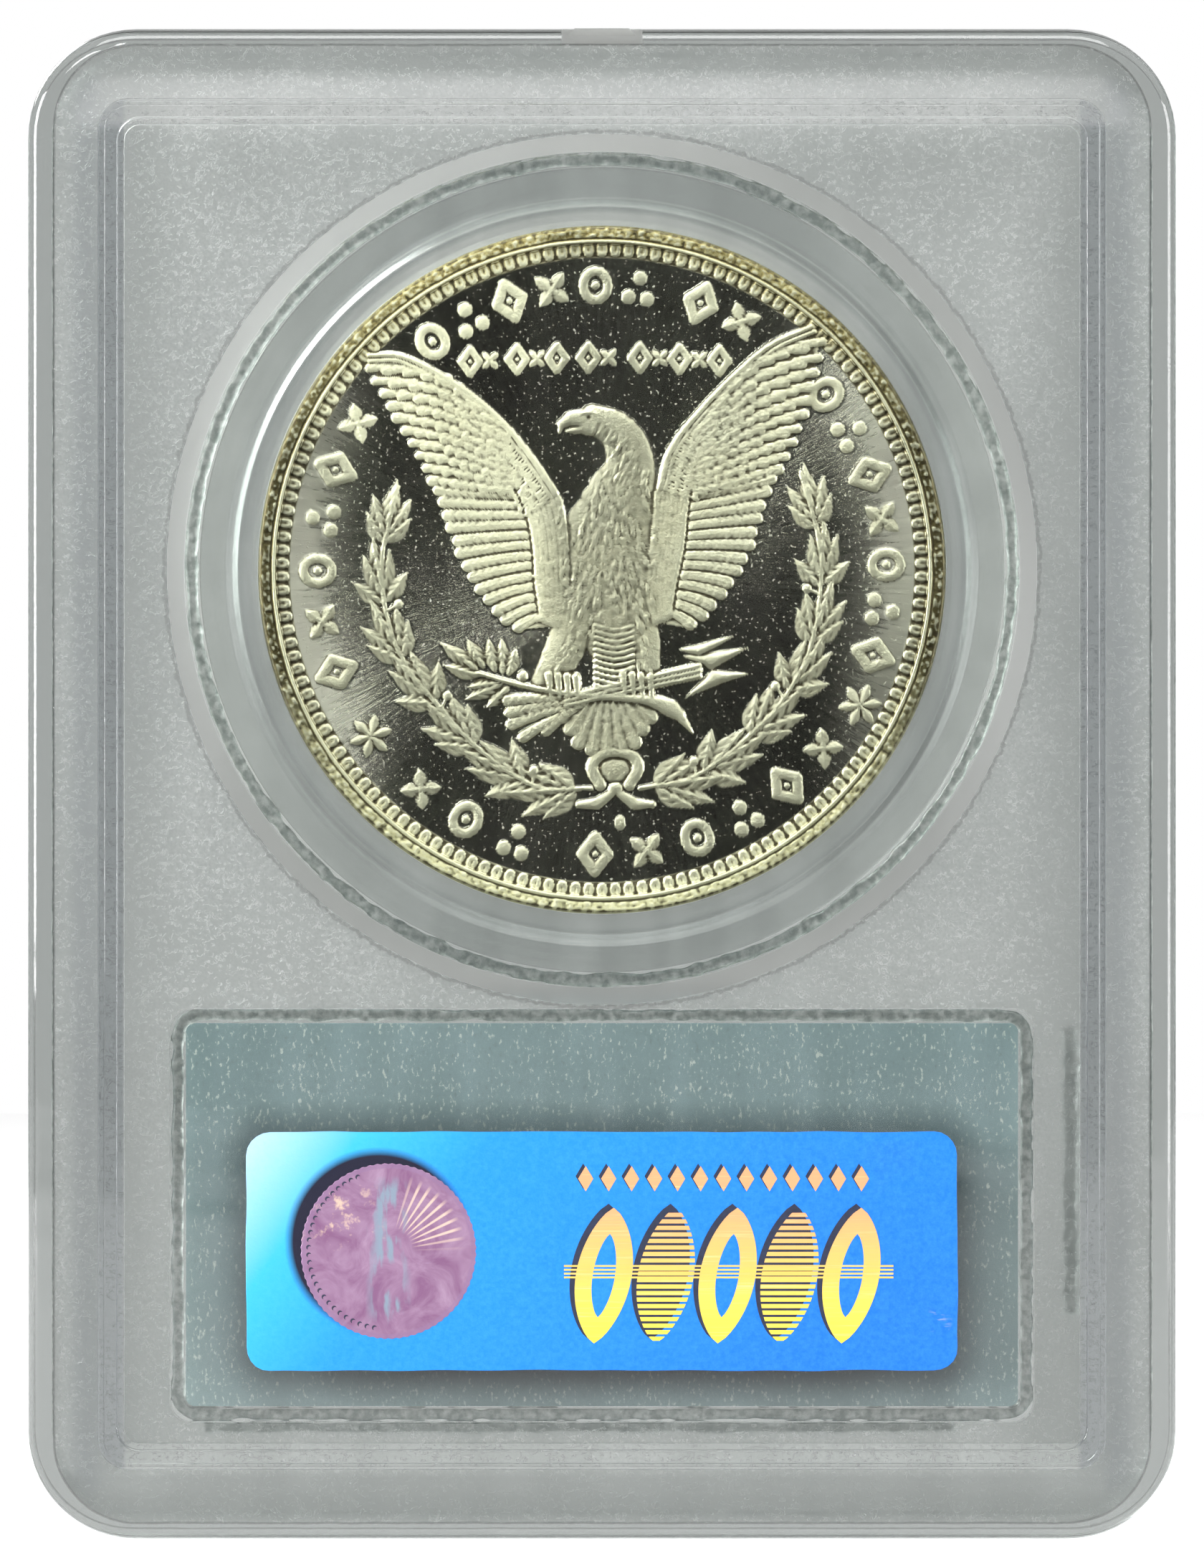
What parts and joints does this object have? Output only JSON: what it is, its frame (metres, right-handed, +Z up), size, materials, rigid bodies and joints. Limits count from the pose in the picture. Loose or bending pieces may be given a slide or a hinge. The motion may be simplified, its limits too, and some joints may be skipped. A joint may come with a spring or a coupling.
{
  "type": "graded coin slab",
  "caption": "Sealed clear hard-plastic display holder with rounded corners and stacking ridges, with a silver coin in a clear ring above a label card and a foil sticker on the rear.",
  "frame": {"origin": "middle of the lower edge that the holder stands on, half way through its thickness", "axes": "+Z up the holder from its label end to its coin end; -Y out of the rear face, the one with the foil sticker; +X to the right when looking at the rear face"},
  "size_m": [0.0636, 0.0078, 0.0835],
  "materials": {
    "clear_shell": "clear moulded polystyrene, polished with fine-grained panels",
    "weld_bead": "remelted clear polystyrene, lumpy",
    "clear_ring": "clear polished ring",
    "coin_silver": "struck silver, frosted design on mirror fields, light golden toning at the rim",
    "label_paper": "uncoated blue-grey card with fine fibres",
    "foil_film": "metallised diffractive foil, blue with gold"
  },
  "bodies": {
    "root": {"rear_shell": "clear_shell", "front_shell": "clear_shell", "perimeter_weld": "weld_bead", "coin_well_weld": "weld_bead", "label_pocket_weld": "weld_bead", "coin_ring": "clear_ring", "coin": "coin_silver", "label_card": "label_paper", "foil_sticker": "foil_film"}
  },
  "joints": []
}
